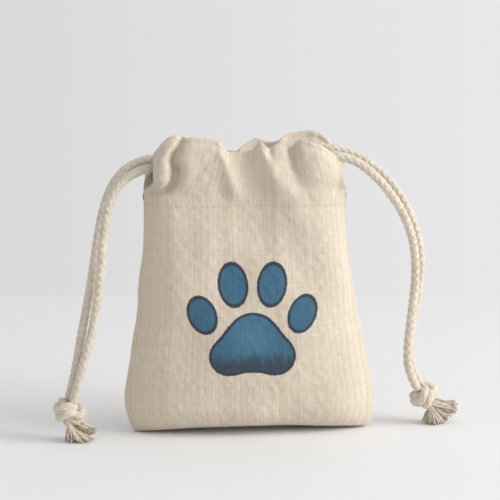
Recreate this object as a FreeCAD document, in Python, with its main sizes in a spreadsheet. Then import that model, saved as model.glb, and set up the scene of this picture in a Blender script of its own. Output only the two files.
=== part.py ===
import FreeCAD, Part
import math
import os
from FreeCAD import Vector, Placement, Rotation

# Small double-drawstring treat pouch, standing on its base with the mouth drawn in.
# Frame: millimetres, +Z up, front of the pouch faces -Y, origin at the middle of the base.
# The cloth is two panels joined by side seams and a bottom seam.  Each panel's top is
# turned down into a casing; two closed cords run through both casings and leave it on
# opposite sides, each one ending in an overhand knot with a frayed tassel.

doc = FreeCAD.newDocument("treat_pouch")

# ------------------------------------------------------------------ driving dimensions
dims = doc.addObject("Spreadsheet::Sheet", "dims")
VAL = {}
_row = [1]


def put(alias, value, note=""):
    r = _row[0]
    dims.set("A%d" % r, note or alias)
    dims.set("B%d" % r, "%.6g" % value)
    dims.setAlias("B%d" % r, alias)
    VAL[alias] = float(value)
    _row[0] += 1


put("ply", 1.0, "cloth wall thickness as built")
put("gap", 0.6, "half gap between front and back panel edges, filled by the seam allowance")
# height stations of the cloth wall: height, half width, half depth, half depth of the side wall
STATIONS = [
    ("a", 0.0, 69.5, 13.0, 7.0),
    ("b", 5.0, 71.8, 17.0, 8.0),
    ("c", 14.0, 72.5, 20.0, 8.5),
    ("d", 40.0, 69.0, 23.0, 9.5),
    ("e", 75.0, 63.8, 23.5, 11.0),
    ("f", 105.0, 59.6, 21.0, 12.6),
    ("g", 134.0, 57.8, 18.0, 14.5),
]
for k, z, w, d, e in STATIONS:
    put("z_" + k, z, "height of station " + k)
    put("w_" + k, w, "half width at station " + k)
    put("d_" + k, d, "half depth at station " + k)
    put("e_" + k, e, "half depth of side wall at station " + k)
put("casing_bottom", 134.3, "underside of the casing")
put("casing_top", 171.0, "top fold of the casing")
put("casing_half", 57.5, "half length of the gathered casing")
put("casing_outer", 17.8, "casing face from the middle plane, at the middle")
put("casing_edge", 15.6, "casing face from the middle plane, at the slit")
put("casing_inner", 6.8, "inner face of the casing from the middle plane")
put("casing_round", 13.0, "round of the casing's top corners")
put("channel_floor", 136.3, "bottom of the cord channel")
put("channel_roof", 170.0, "top of the cord channel")
put("channel_front", 16.8, "channel wall, outer")
put("channel_back", 7.9, "channel wall, inner")
put("hem_half", 34.0, "half length of the turned-down ply")
put("seam_wide", 8.0, "width of a seam allowance")
put("seam_thick", 1.0, "thickness of the closed seam allowance")
put("cord_dia", 5.0, "cord diameter")
put("run_y", 11.5, "cord run from the middle plane")
put("left_z", 156.95, "middle height of the left cord's loop")
put("loop_step", 5.35, "right loop above left loop")
put("loop_tilt", 1.25, "half height difference between front and back runs")
put("loop_start", 41.0, "where the loop meets the free strands")
put("turn_x", 32.0, "centre of the far turn")
put("knot_long", 12.6, "length of a knot")
put("knot_face", 6.0, "radius of a knot's end faces")
put("knot_belly", 9.2, "largest radius of a knot")
put("tassel_root", 4.6, "radius of a tassel at the knot")
put("tassel_foot", 8.2, "radius of a tassel at its foot")
put("stitch_long", 2.4, "length of a stitch")
put("stitch_pitch", 3.4, "pitch of the stitches")
put("stitch_thick", 0.5, "thread thickness")
put("paw_z", 67.0, "height of the printed motif's middle")
put("paw_x", 0.3, "sideways place of the printed motif's middle")
put("ink", 0.3, "thickness of the printed layer as built")

# Free strands: points of each route, first point inside the casing, last at the knot.
ROUTES = {
    "left_strand_front": [
        (-41, -11.5, 155.7), (-49.5, -11.5, 155.7), (-61.5, -11.9, 153.6), (-71.9, -13.3, 148.2),
        (-78.8, -15.4, 138.2), (-82.1, -17.2, 124.6), (-83.8, -18.6, 110.2), (-85.1, -19.4, 95.4),
        (-87.0, -20.0, 80.6), (-89.4, -20.6, 66.2), (-92.9, -21.1, 52.3), (-97.6, -21.47, 37.5),
        (-101.3, -21.9, 23.0)],
    "left_strand_back": [
        (-41, 11.5, 158.2), (-49.5, 11.5, 158.2), (-61.3, 9.9, 156.8), (-71.6, 6.2, 151.6),
        (-79.2, 1.0, 141.6), (-83.5, -4.4, 128.8), (-86.4, -9.0, 114.6), (-88.7, -12.2, 99.8),
        (-91.2, -14.3, 85.1), (-94.1, -15.5, 70.5), (-97.0, -15.9, 56.1), (-99.847, -16.129, 39.39),
        (-103.9, -16.6, 23.506)],
    "right_strand_front": [
        (41, -11.5, 161.05), (49.5, -11.5, 161.05), (60.5, -11.6, 157.6), (70.6, -11.0, 149.9),
        (79.6, -9.3, 140.0), (87.3, -7.0, 129.0), (93.2, -4.0, 116.8), (96.8, -1.4, 103.2),
        (97.6, 0.2, 88.9), (96.6, 1.0, 74.5), (95.0, 1.4, 60.2), (93.5, 1.5, 45.2),
        (94.2, 1.5, 31.6), (100.2, 1.5, 21.0)],
    "right_strand_back": [
        (41, 11.5, 163.55), (49.5, 11.5, 163.55), (60.8, 11.7, 160.3), (71.8, 11.7, 154.2),
        (81.6, 11.3, 145.9), (89.6, 10.5, 135.4), (96.0, 9.5, 123.3), (100.5, 8.3, 110.2),
        (102.0, 7.4, 96.2), (101.0, 6.9, 81.8), (98.4, 6.8, 67.2), (95.7, 6.9, 50.5),
        (95.904, 6.9, 34.656), (102.8, 6.9, 22.472)],
}
for name, pts in ROUTES.items():
    tag = "".join(w[0] for w in name.split("_"))
    for i, p in enumerate(pts):
        for ax, v in zip("xyz", p):
            put("%s_%s_%d_pt" % (tag, ax, i), v, "%s point %d %s" % (name, i, ax))

doc.recompute()


def D(alias):
    """A driving dimension, read back from the sheet."""
    return float(dims.get(alias))


PARTS = []


def keep(obj, label):
    obj.Label = label
    PARTS.append(obj)
    return obj


def plane(body, role):
    for f in body.Origin.OriginFeatures:
        if f.Role == role:
            return f
    raise RuntimeError(role)


def sketch_on(body, name, role, offset="0"):
    sk = body.newObject("Sketcher::SketchObject", name)
    sk.AttachmentSupport = [(plane(body, role), "")]
    sk.MapMode = "FlatFace"
    sk.setExpression("AttachmentOffset.Base.z", offset)
    return sk


def pin(sk, geo, pos, axis, value, expr):
    """Fix one coordinate of a point to the sheet, measured from the origin."""
    kind = "DistanceX" if axis == "x" else "DistanceY"
    if value < 0:
        import_args = (kind, geo, pos, -1, 1, -value)
    else:
        import_args = (kind, -1, 1, geo, pos, value)
    import Sketcher
    i = sk.addConstraint(Sketcher.Constraint(*import_args))
    sk.setExpression("Constraints[%d]" % i, expr)


def arc_geo(x0, y0, x1, y1, ymid):
    """Anticlockwise arc between (x0,y0) and (x1,y1), symmetric about x=0, middle at ymid."""
    if ymid > y0:
        x0, y0, x1, y1 = x1, y1, x0, y0
    return Part.Arc(Vector(x0, y0, 0), Vector(0, ymid, 0), Vector(x1, y1, 0))


def radius_pin(sk, geo, half, sag, half_expr, sag_expr):
    import Sketcher
    r = (half * half + sag * sag) / (2 * sag)
    i = sk.addConstraint(Sketcher.Constraint("Radius", geo, r))
    sk.setExpression("Constraints[%d]" % i, "((%s)^2 + (%s)^2) / (2 * (%s))" % (half_expr, sag_expr, sag_expr))


def coincide(sk, a, pa, b, pb):
    import Sketcher
    sk.addConstraint(Sketcher.Constraint("Coincident", a, pa, b, pb))


def arc_ends(sk, g, left, y):
    """Which end of arc g is its left one (sketch arcs run anticlockwise)."""
    s = sk.Geometry[g].StartPoint
    return (1, 2) if abs(s.x - left) < 1e-6 else (2, 1)


def u_band(sk, s, k, extra_out="0 mm", closed=False):
    """Cross-section of one panel: bulged face with two side walls, s=-1 front, +1 back.

    closed=True draws the filled section (for the base web) instead of the band."""
    t, g = VAL["ply"], VAL["gap"]
    W, Dp, E = VAL["w_" + k], VAL["d_" + k], VAL["e_" + k]
    w, dp, e = "dims.w_" + k, "dims.d_" + k, "dims.e_" + k
    ao = sk.addGeometry(arc_geo(-W, s * E, W, s * E, s * Dp), False)
    lo, ro = arc_ends(sk, ao, -W, s * E)
    if closed:
        l1 = sk.addGeometry(Part.LineSegment(Vector(-W, s * E, 0), Vector(-W, s * g, 0)), False)
        l2 = sk.addGeometry(Part.LineSegment(Vector(-W, s * g, 0), Vector(W, s * g, 0)), False)
        l3 = sk.addGeometry(Part.LineSegment(Vector(W, s * g, 0), Vector(W, s * E, 0)), False)
        coincide(sk, ao, lo, l1, 1)
        coincide(sk, l1, 2, l2, 1)
        coincide(sk, l2, 2, l3, 1)
        coincide(sk, l3, 2, ao, ro)
        pin(sk, ao, lo, "x", -W, w)
        pin(sk, ao, lo, "y", s * E, e)
        pin(sk, ao, ro, "x", W, w)
        pin(sk, ao, ro, "y", s * E, e)
        radius_pin(sk, ao, W, Dp - E, w, "%s - %s" % (dp, e))
        pin(sk, l2, 1, "x", -W, w)
        pin(sk, l2, 1, "y", s * g, "dims.gap")
        pin(sk, l2, 2, "x", W, w)
        pin(sk, l2, 2, "y", s * g, "dims.gap")
        return
    ai = sk.addGeometry(arc_geo(-(W - t), s * (E - t * 0.4), W - t, s * (E - t * 0.4), s * (Dp - t)), False)
    li, ri = arc_ends(sk, ai, -(W - t), 0)
    L = [
        (-W, s * E, -W, s * g), (-W, s * g, -(W - t), s * g), (-(W - t), s * g, -(W - t), s * (E - t * 0.4)),
        (W - t, s * (E - t * 0.4), W - t, s * g), (W - t, s * g, W, s * g), (W, s * g, W, s * E),
    ]
    n = [sk.addGeometry(Part.LineSegment(Vector(a, b, 0), Vector(c, d, 0)), False) for a, b, c, d in L]
    coincide(sk, ao, lo, n[0], 1)
    coincide(sk, n[0], 2, n[1], 1)
    coincide(sk, n[1], 2, n[2], 1)
    coincide(sk, n[2], 2, ai, li)
    coincide(sk, ai, ri, n[3], 1)
    coincide(sk, n[3], 2, n[4], 1)
    coincide(sk, n[4], 2, n[5], 1)
    coincide(sk, n[5], 2, ao, ro)
    wi, ei = "%s - dims.ply" % w, "%s - 0.4 * dims.ply" % e
    pin(sk, ao, lo, "x", -W, w)
    pin(sk, ao, lo, "y", s * E, e)
    pin(sk, ao, ro, "x", W, w)
    pin(sk, ao, ro, "y", s * E, e)
    radius_pin(sk, ao, W, Dp - E, w, "%s - %s" % (dp, e))
    pin(sk, ai, li, "x", -(W - t), wi)
    pin(sk, ai, li, "y", s * (E - t * 0.4), ei)
    pin(sk, ai, ri, "x", W - t, wi)
    pin(sk, ai, ri, "y", s * (E - t * 0.4), ei)
    radius_pin(sk, ai, W - t, Dp - E - 0.6 * t, wi, "%s - %s - 0.6 * dims.ply" % (dp, e))
    pin(sk, n[0], 2, "x", -W, w)
    pin(sk, n[0], 2, "y", s * g, "dims.gap")
    pin(sk, n[1], 2, "x", -(W - t), wi)
    pin(sk, n[1], 2, "y", s * g, "dims.gap")
    pin(sk, n[3], 2, "x", W - t, wi)
    pin(sk, n[3], 2, "y", s * g, "dims.gap")
    pin(sk, n[4], 2, "x", W, w)
    pin(sk, n[4], 2, "y", s * g, "dims.gap")


def loft(body, name, sketches):
    lf = body.newObject("PartDesign::AdditiveLoft", name)
    lf.Profile = sketches[0]
    lf.Sections = sketches[1:]
    lf.Ruled = False
    return lf


# ------------------------------------------------------------------ cloth panels
def panel(name, s):
    body = doc.addObject("PartDesign::Body", name + "_body")
    base = sketch_on(body, name + "_base_sketch", "XY_Plane", "dims.z_a")
    u_band(base, s, "a", closed=True)
    web = body.newObject("PartDesign::Pad", name + "_base")
    web.Profile = base
    web.setExpression("Length", "dims.ply")
    sk = []
    for k, *_ in STATIONS:
        q = sketch_on(body, "%s_section_%s" % (name, k), "XY_Plane", "dims.z_" + k)
        u_band(q, s, k)
        sk.append(q)
    doc.recompute()
    loft(body, name + "_wall", sk)
    doc.recompute()
    return keep(body, name)


front_panel = panel("front_panel", -1)
back_panel = panel("back_panel", 1)


# ------------------------------------------------------------------ casings
def casing(name, s):
    """Channel for the cords: outer ply, top fold and turned-down inner ply in one piece."""
    h, o, e, i = VAL["casing_half"], VAL["casing_outer"], VAL["casing_edge"], VAL["casing_inner"]
    body = doc.addObject("PartDesign::Body", name + "_body")
    q = sketch_on(body, name + "_plan", "XY_Plane", "dims.casing_bottom")
    a = q.addGeometry(arc_geo(-h, s * e, h, s * e, s * o), False)
    lo, ro = arc_ends(q, a, -h, 0)
    n = [q.addGeometry(Part.LineSegment(Vector(*p, 0), Vector(*r, 0)), False)
         for p, r in (((-h, s * e), (-h, s * i)), ((-h, s * i), (h, s * i)), ((h, s * i), (h, s * e)))]
    coincide(q, a, lo, n[0], 1)
    coincide(q, n[0], 2, n[1], 1)
    coincide(q, n[1], 2, n[2], 1)
    coincide(q, n[2], 2, a, ro)
    pin(q, a, lo, "x", -h, "dims.casing_half")
    pin(q, a, lo, "y", s * e, "dims.casing_edge")
    pin(q, a, ro, "x", h, "dims.casing_half")
    pin(q, a, ro, "y", s * e, "dims.casing_edge")
    radius_pin(q, a, h, o - e, "dims.casing_half", "dims.casing_outer - dims.casing_edge")
    pin(q, n[1], 1, "x", -h, "dims.casing_half")
    pin(q, n[1], 1, "y", s * i, "dims.casing_inner")
    pin(q, n[1], 2, "x", h, "dims.casing_half")
    pin(q, n[1], 2, "y", s * i, "dims.casing_inner")
    block = body.newObject("PartDesign::Pad", name + "_block")
    block.Profile = q
    block.setExpression("Length", "dims.casing_top - dims.casing_bottom")
    doc.recompute()
    v0 = block.Shape.Volume

    # the channel, open at both slits; it follows the bulge of the outer ply
    cf, cb = VAL["channel_front"], VAL["channel_back"]
    L = h + 3
    c = sketch_on(body, name + "_channel_plan", "XY_Plane", "dims.channel_roof")
    ee = e - 1.1
    a = c.addGeometry(arc_geo(-L, s * ee, L, s * ee, s * cf), False)
    lo, ro = arc_ends(c, a, -L, 0)
    n = [c.addGeometry(Part.LineSegment(Vector(*p, 0), Vector(*r, 0)), False)
         for p, r in (((-L, s * ee), (-L, s * cb)), ((-L, s * cb), (L, s * cb)), ((L, s * cb), (L, s * ee)))]
    coincide(c, a, lo, n[0], 1)
    coincide(c, n[0], 2, n[1], 1)
    coincide(c, n[1], 2, n[2], 1)
    coincide(c, n[2], 2, a, ro)
    pin(c, a, lo, "x", -L, "dims.casing_half + 3")
    pin(c, a, lo, "y", s * ee, "dims.casing_edge - 1.1")
    pin(c, a, ro, "x", L, "dims.casing_half + 3")
    pin(c, a, ro, "y", s * ee, "dims.casing_edge - 1.1")
    radius_pin(c, a, L, cf - ee, "dims.casing_half + 3", "dims.channel_front - (dims.casing_edge - 1.1)")
    pin(c, n[1], 1, "x", -L, "dims.casing_half + 3")
    pin(c, n[1], 1, "y", s * cb, "dims.channel_back")
    pin(c, n[1], 2, "x", L, "dims.casing_half + 3")
    pin(c, n[1], 2, "y", s * cb, "dims.channel_back")
    cut = body.newObject("PartDesign::Pocket", name + "_channel")
    cut.Profile = c
    cut.setExpression("Length", "dims.channel_roof - dims.channel_floor")
    doc.recompute()
    v1 = cut.Shape.Volume
    assert v1 < v0 - 1000, "channel cut nothing"

    # ends of the turned-down ply and the rounded top corners, cut along Y
    m = VAL["hem_half"]
    zb, zt, r = VAL["channel_floor"], VAL["casing_top"], VAL["casing_round"]
    role = "XZ_Plane"
    p = sketch_on(body, name + "_hem_ends", role)
    p.AttachmentOffset = Placement(Vector(0, 0, 0), Rotation())
    # normal of the XZ plane is -Y, so the sketch sits at the far side of the inner ply
    off = -s * (VAL["channel_back"] + 0.5)
    p.setExpression("AttachmentOffset.Base.z", ("-" if off < 0 else "") + "(dims.channel_back + 0.5)")
    import Sketcher
    for sg in (-1, 1):
        x0, x1 = sg * m, sg * (h + 3)
        pts = [(x0, zb), (x1, zb), (x1, zt + 3), (x0, zt + 3)]
        ids = [p.addGeometry(Part.LineSegment(Vector(*pts[j], 0), Vector(*pts[(j + 1) % 4], 0)), False) for j in range(4)]
        for j in range(4):
            coincide(p, ids[j], 2, ids[(j + 1) % 4], 1)
        for j in (0, 2):
            pin(p, ids[j], 1, "x", pts[j][0], "dims.hem_half" if j == 0 else "dims.casing_half + 3")
            pin(p, ids[j], 1, "y", pts[j][1], "dims.channel_floor" if j == 0 else "dims.casing_top + 3")
        pin(p, ids[1], 1, "x", pts[1][0], "dims.casing_half + 3")
        pin(p, ids[1], 1, "y", pts[1][1], "dims.channel_floor")
        pin(p, ids[3], 1, "x", pts[3][0], "dims.hem_half")
        pin(p, ids[3], 1, "y", pts[3][1], "dims.casing_top + 3")
    ends = body.newObject("PartDesign::Pocket", name + "_hem_end_cuts")
    ends.Profile = p
    ends.Length = 4.0
    # the cut runs from the channel towards the middle plane
    ends.Reversed = s > 0
    doc.recompute()
    v2 = ends.Shape.Volume
    assert 1200 < v1 - v2 < 2200, "hem ends cut %.0f mm3" % (v1 - v2)

    c2 = sketch_on(body, name + "_corner_plan", role)
    for sg in (-1, 1):
        xo, xi, top, low = sg * (h + 4), sg * (h - r), zt, zt - r
        cx = sg * (h - r)
        mid = Vector(cx + sg * r * math.cos(math.pi / 4), low + r * math.sin(math.pi / 4), 0)
        ends2 = (Vector(sg * h, low, 0), Vector(xi, top, 0))
        if sg < 0:
            ends2 = ends2[::-1]
        arc = c2.addGeometry(Part.Arc(ends2[0], mid, ends2[1]), False)
        sa = c2.Geometry[arc].StartPoint
        lowend, topend = (1, 2) if abs(sa.y - low) < 1e-6 else (2, 1)
        pts = [(sg * h, low), (xo, low), (xo, top + 4), (xi, top + 4), (xi, top)]
        ids = [c2.addGeometry(Part.LineSegment(Vector(*pts[j], 0), Vector(*pts[j + 1], 0)), False) for j in range(4)]
        coincide(c2, arc, lowend, ids[0], 1)
        for j in range(3):
            coincide(c2, ids[j], 2, ids[j + 1], 1)
        coincide(c2, ids[3], 2, arc, topend)
        pin(c2, arc, lowend, "x", sg * h, "dims.casing_half")
        pin(c2, arc, lowend, "y", low, "dims.casing_top - dims.casing_round")
        pin(c2, arc, topend, "x", xi, "dims.casing_half - dims.casing_round")
        pin(c2, arc, topend, "y", top, "dims.casing_top")
        i = c2.addConstraint(Sketcher.Constraint("Radius", arc, r))
        c2.setExpression("Constraints[%d]" % i, "dims.casing_round")
        pin(c2, ids[1], 1, "x", xo, "dims.casing_half + 4")
        pin(c2, ids[1], 1, "y", low, "dims.casing_top - dims.casing_round")
        pin(c2, ids[1], 2, "x", xo, "dims.casing_half + 4")
        pin(c2, ids[1], 2, "y", top + 4, "dims.casing_top + 4")
        pin(c2, ids[2], 2, "x", xi, "dims.casing_half - dims.casing_round")
        pin(c2, ids[2], 2, "y", top + 4, "dims.casing_top + 4")
    corners = body.newObject("PartDesign::Pocket", name + "_corners")
    corners.Profile = c2
    corners.Type = "ThroughAll"
    corners.SideType = "Symmetric"
    doc.recompute()
    assert corners.Shape.Volume < v2 - 5, "corners cut nothing"
    return keep(body, name)


front_casing = casing("front_casing", -1)
back_casing = casing("back_casing", 1)


# ------------------------------------------------------------------ seam allowances
def side_seam(name, sg):
    """Turned-in edges of both panels, closed by the side seam, up to the slit."""
    body = doc.addObject("PartDesign::Body", name + "_body")
    sks = []
    for k, z, w, d, e in STATIONS:
        q = sketch_on(body, "%s_section_%s" % (name, k), "XY_Plane",
                      "dims.z_%s + %s" % (k, "1.4 * dims.ply" if k == "a" else "0"))
        xo, xi = sg * (w - 0.1), sg * (w - VAL["seam_wide"])
        ht = VAL["seam_thick"] / 2
        pts = [(xo, -ht), (xo, ht), (xi, ht), (xi, -ht)]
        ids = [q.addGeometry(Part.LineSegment(Vector(*pts[j], 0), Vector(*pts[(j + 1) % 4], 0)), False) for j in range(4)]
        for j in range(4):
            coincide(q, ids[j], 2, ids[(j + 1) % 4], 1)
        ex = ["dims.w_%s - 0.1" % k, "dims.w_%s - 0.1" % k, "dims.w_%s - dims.seam_wide" % k, "dims.w_%s - dims.seam_wide" % k]
        for j in range(4):
            pin(q, ids[j], 1, "x", pts[j][0], ex[j])
            pin(q, ids[j], 1, "y", pts[j][1], "dims.seam_thick / 2")
        sks.append(q)
    doc.recompute()
    loft(body, name + "_allowance", sks)
    doc.recompute()
    return keep(body, name)


left_side_seam = side_seam("left_side_seam", -1)
right_side_seam = side_seam("right_side_seam", 1)

bottom_seam = doc.addObject("Part::Box", "bottom_seam_box")
bottom_seam.setExpression("Length", "2 * (dims.w_a - dims.seam_wide - 1)")
bottom_seam.setExpression("Width", "dims.seam_thick")
bottom_seam.setExpression("Height", "dims.seam_wide")
bottom_seam.setExpression("Placement.Base.x", "-(dims.w_a - dims.seam_wide - 1)")
bottom_seam.setExpression("Placement.Base.y", "-dims.seam_thick / 2")
bottom_seam.setExpression("Placement.Base.z", "0.2")
keep(bottom_seam, "bottom_seam")


# ------------------------------------------------------------------ stitching
def hem_stitches(name, s):
    """Row of lockstitches along the foot of the casing, each stitch its own solid."""
    h, o, e = D("casing_half"), D("casing_outer"), D("casing_edge")
    sag = o - e
    r = (h * h + sag * sag) / (2 * sag)
    cy = o - r
    n = int((2 * h - 6) / D("stitch_pitch"))
    solids = []
    for i in range(n):
        x = (i - (n - 1) / 2.0) * D("stitch_pitch")
        y = cy + math.sqrt(r * r - x * x)
        ang = math.degrees(math.asin(x / r))
        t = D("stitch_thick")
        b = Part.makeBox(D("stitch_long"), t, t, Vector(-D("stitch_long") / 2, 0.03, -t / 2))
        b.Placement = Placement(Vector(x, y, D("casing_bottom") + 1.0), Rotation(Vector(0, 0, 1), -ang))
        if s < 0:
            b = b.mirror(Vector(0, 0, 0), Vector(0, 1, 0))
        solids.append(b)
    ob = doc.addObject("Part::Feature", name + "_feature")
    ob.Shape = Part.makeCompound(solids)
    ob.Placement = Placement()
    return keep(ob, name)


front_hem_stitching = hem_stitches("front_hem_stitching", -1)
back_hem_stitching = hem_stitches("back_hem_stitching", 1)


def bartack(name, sg):
    """Bar of tight stitches that closes the foot of the side slit."""
    b = doc.addObject("Part::Box", name + "_box")
    b.setExpression("Length", "0.6")
    b.setExpression("Width", "8")
    b.setExpression("Height", "2.2")
    b.setExpression("Placement.Base.x", "dims.w_g + 0.15" if sg > 0 else "-(dims.w_g + 0.15) - 0.6")
    b.setExpression("Placement.Base.y", "-4")
    b.setExpression("Placement.Base.z", "dims.z_g - 3")
    return keep(b, name)


left_bartack = bartack("left_bartack", -1)
right_bartack = bartack("right_bartack", 1)


# ------------------------------------------------------------------ printed motif
def ellipse_pad(name, dx, dz, rx, rz, turn):
    """One toe pad of the motif: an elliptic cylinder along Y."""
    e = doc.addObject("Part::Ellipse", name + "_outline")
    e.MajorRadius = max(rx, rz)
    e.MinorRadius = min(rx, rz)
    e.Angle1, e.Angle2 = 0, 360
    base_turn = 90.0 if rz > rx else 0.0
    rot = Rotation(Vector(1, 0, 0), 90).multiply(Rotation(Vector(0, 0, 1), base_turn + turn))
    e.Placement = Placement(Vector(D("paw_x") + dx, 0, D("paw_z") + dz), rot)
    x = doc.addObject("Part::Extrusion", name)
    x.Base = e
    x.Dir = Vector(0, -1, 0)
    x.DirMode = "Custom"
    x.LengthFwd = 40.0
    x.Solid = True
    return x


def pad_outline():
    """Main pad: a closed smooth outline in the XZ plane, extruded along Y."""
    pts = [(0, 6.5), (9.5, 4.2), (16.5, -3.5), (22.5, -11.5), (25.0, -20.5), (21.5, -28.0),
           (14.0, -30.8), (6.5, -28.8), (0, -27.6), (-6.5, -28.8), (-14.0, -30.8), (-21.5, -28.0),
           (-25.0, -20.5), (-22.5, -11.5), (-16.5, -3.5), (-9.5, 4.2)]
    c = Part.BSplineCurve()
    c.interpolate([Vector(D("paw_x") + x, 0, D("paw_z") + z) for x, z in pts], PeriodicFlag=True)
    ob = doc.addObject("Part::Feature", "main_pad_outline")
    ob.Shape = Part.Wire([c.toShape()])
    x = doc.addObject("Part::Extrusion", "main_pad")
    x.Base = ob
    x.Dir = Vector(0, -1, 0)
    x.DirMode = "Custom"
    x.LengthFwd = 40.0
    x.Solid = True
    return x


pads = [pad_outline(),
        ellipse_pad("toe_a", -28.5, 5.0, 8.2, 11.8, 22),
        ellipse_pad("toe_b", -11.0, 22.0, 8.6, 13.2, 7),
        ellipse_pad("toe_c", 11.0, 22.0, 8.6, 13.2, -7),
        ellipse_pad("toe_d", 28.5, 5.0, 8.2, 11.8, -22)]
allpads = doc.addObject("Part::Compound", "motif_pads")
allpads.Links = pads
doc.recompute()


def shifted_front(name, dy):
    """The front panel moved forward by dy, to give the printed layer the cloth's own shape."""
    ob = doc.addObject("Part::Feature", name)
    ob.Shape = front_panel.Shape.copy()
    ob.Placement = Placement(Vector(0, -dy, 0), Rotation())
    return ob


layer = doc.addObject("Part::Common", "print_layer")
layer.Base = allpads
layer.Tool = shifted_front("cloth_outside", 0.1 + D("ink"))
printed = doc.addObject("Part::Cut", "front_print_cut")
printed.Base = layer
printed.Tool = shifted_front("cloth_inside", 0.1)
doc.recompute()
keep(printed, "front_print")


# ------------------------------------------------------------------ cords
def read_route(name):
    tag = "".join(w[0] for w in name.split("_"))
    return [Vector(*(D("%s_%s_%d_pt" % (tag, ax, i)) for ax in "xyz")) for i in range(len(ROUTES[name]))]


def filleted_wire(pts):
    """Straight runs joined by tangent arcs, each as large as its two runs allow."""
    edges, radii = [], []
    here = pts[0]
    for a, b, c in zip(pts, pts[1:], pts[2:]):
        u, v = (a - b), (c - b)
        lu, lv = u.Length, v.Length
        u.normalize()
        v.normalize()
        turn = math.pi - u.getAngle(v)
        cut = 0.45 * min(lu, lv)
        radii.append(cut / math.tan(turn / 2))
        p, q = b + u * cut, b + v * cut
        bis = (u + v)
        bis.normalize()
        r = radii[-1]
        centre = b + bis * (r / math.cos(turn / 2))
        mid = centre - bis * r
        edges.append(Part.LineSegment(here, p).toShape())
        edges.append(Part.Arc(p, mid, q).toShape())
        here = q
    edges.append(Part.LineSegment(here, pts[-1]).toShape())
    return Part.Wire(edges), radii


def tube(name, wire, start, direction):
    """Round cord swept along a wire; its radius is bound to the sheet."""
    spine = doc.addObject("Part::Feature", name + "_path")
    spine.Shape = wire
    ring = doc.addObject("Part::Circle", name + "_ring")
    ring.setExpression("Radius", "dims.cord_dia / 2")
    ring.Placement = Placement(start, Rotation(Vector(0, 0, 1), direction))
    sw = doc.addObject("Part::Sweep", name + "_sweep")
    sw.Sections = [ring]
    sw.Spine = (spine, ["Edge%d" % (i + 1) for i in range(len(wire.Edges))])
    sw.Solid = True
    sw.Frenet = False
    doc.recompute()
    area = math.pi * (D("cord_dia") / 2) ** 2
    print("%-20s length %.2f mm, volume %.1f mm3, section x length %.1f mm3"
          % (name, wire.Length, sw.Shape.Volume, area * wire.Length))
    assert abs(sw.Shape.Volume / (area * wire.Length) - 1) < 0.01, name
    return keep(sw, name)


for name in ROUTES:
    pts = read_route(name)
    wire, radii = filleted_wire(pts)
    print("%-20s runs %s" % (name, " ".join("%.1f" % (b - a).Length for a, b in zip(pts, pts[1:]))))
    print("%-20s radii %s" % (name, " ".join("%.0f" % r for r in radii)))
    tube(name, wire, pts[0], pts[1] - pts[0])


def loop(name, sg, z_mid):
    """The part of a cord inside the casings: out along one, round, back along the other."""
    y, t, s0, cx = D("run_y"), D("loop_tilt"), sg * D("loop_start"), -sg * D("turn_x")
    a, b = Vector(s0, -y, z_mid - t), Vector(cx, -y, z_mid - t)
    c, d = Vector(cx, y, z_mid + t), Vector(s0, y, z_mid + t)
    r = (c - b).Length / 2
    apex = (b + c) * 0.5 + Vector(-sg * r, 0, 0)
    w = Part.Wire([Part.LineSegment(a, b).toShape(), Part.Arc(b, apex, c).toShape(), Part.LineSegment(c, d).toShape()])
    print("%-20s turn radius %.1f" % (name, r))
    tube(name, w, a, b - a)


loop("left_cord_loop", -1, D("left_z"))
loop("right_cord_loop", 1, D("left_z") + D("loop_step"))


# ------------------------------------------------------------------ knots and tassels
def knot(name, strands):
    """Barrel-shaped overhand knot; both strands meet its flat upper face."""
    ends = [read_route(s)[-2:] for s in strands]
    axis = ends[0][1] - ends[0][0]
    axis.normalize()
    top = (ends[0][1] + ends[1][1]) * 0.5
    body = doc.addObject("PartDesign::Body", name + "_body")
    import Sketcher
    q = sketch_on(body, name + "_profile", "XZ_Plane")
    rf, rb, L = VAL["knot_face"], VAL["knot_belly"], VAL["knot_long"]
    g = [q.addGeometry(Part.LineSegment(Vector(0, 0, 0), Vector(rf, 0, 0)), False),
         q.addGeometry(Part.Arc(Vector(rf, -L, 0), Vector(rb, -L / 2, 0), Vector(rf, 0, 0)), False),
         q.addGeometry(Part.LineSegment(Vector(rf, -L, 0), Vector(0, -L, 0)), False),
         q.addGeometry(Part.LineSegment(Vector(0, -L, 0), Vector(0, 0, 0)), False)]
    sa = q.Geometry[g[1]].StartPoint
    up, dn = (1, 2) if abs(sa.y) < 1e-6 else (2, 1)
    coincide(q, g[0], 1, -1, 1)
    coincide(q, g[0], 2, g[1], up)
    coincide(q, g[1], dn, g[2], 1)
    coincide(q, g[2], 2, g[3], 1)
    coincide(q, g[3], 2, -1, 1)
    q.addConstraint(Sketcher.Constraint("Horizontal", g[0]))
    q.addConstraint(Sketcher.Constraint("Horizontal", g[2]))
    q.addConstraint(Sketcher.Constraint("Vertical", g[3]))
    pin(q, g[0], 2, "x", rf, "dims.knot_face")
    pin(q, g[1], dn, "x", rf, "dims.knot_face")
    pin(q, g[2], 2, "y", -L, "dims.knot_long")
    sag = rb - rf
    i = q.addConstraint(Sketcher.Constraint("Radius", g[1], ((L / 2) ** 2 + sag ** 2) / (2 * sag)))
    q.setExpression("Constraints[%d]" % i,
                    "((dims.knot_long / 2)^2 + (dims.knot_belly - dims.knot_face)^2) / (2 * (dims.knot_belly - dims.knot_face))")
    rev = body.newObject("PartDesign::Revolution", name + "_barrel")
    rev.Profile = q
    rev.ReferenceAxis = (q, ["V_Axis"])
    rev.Angle = 360.0
    doc.recompute()
    body.Placement = Placement(top, Rotation(Vector(0, 0, -1), axis))
    doc.recompute()
    keep(body, name)
    return top, axis


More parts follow.
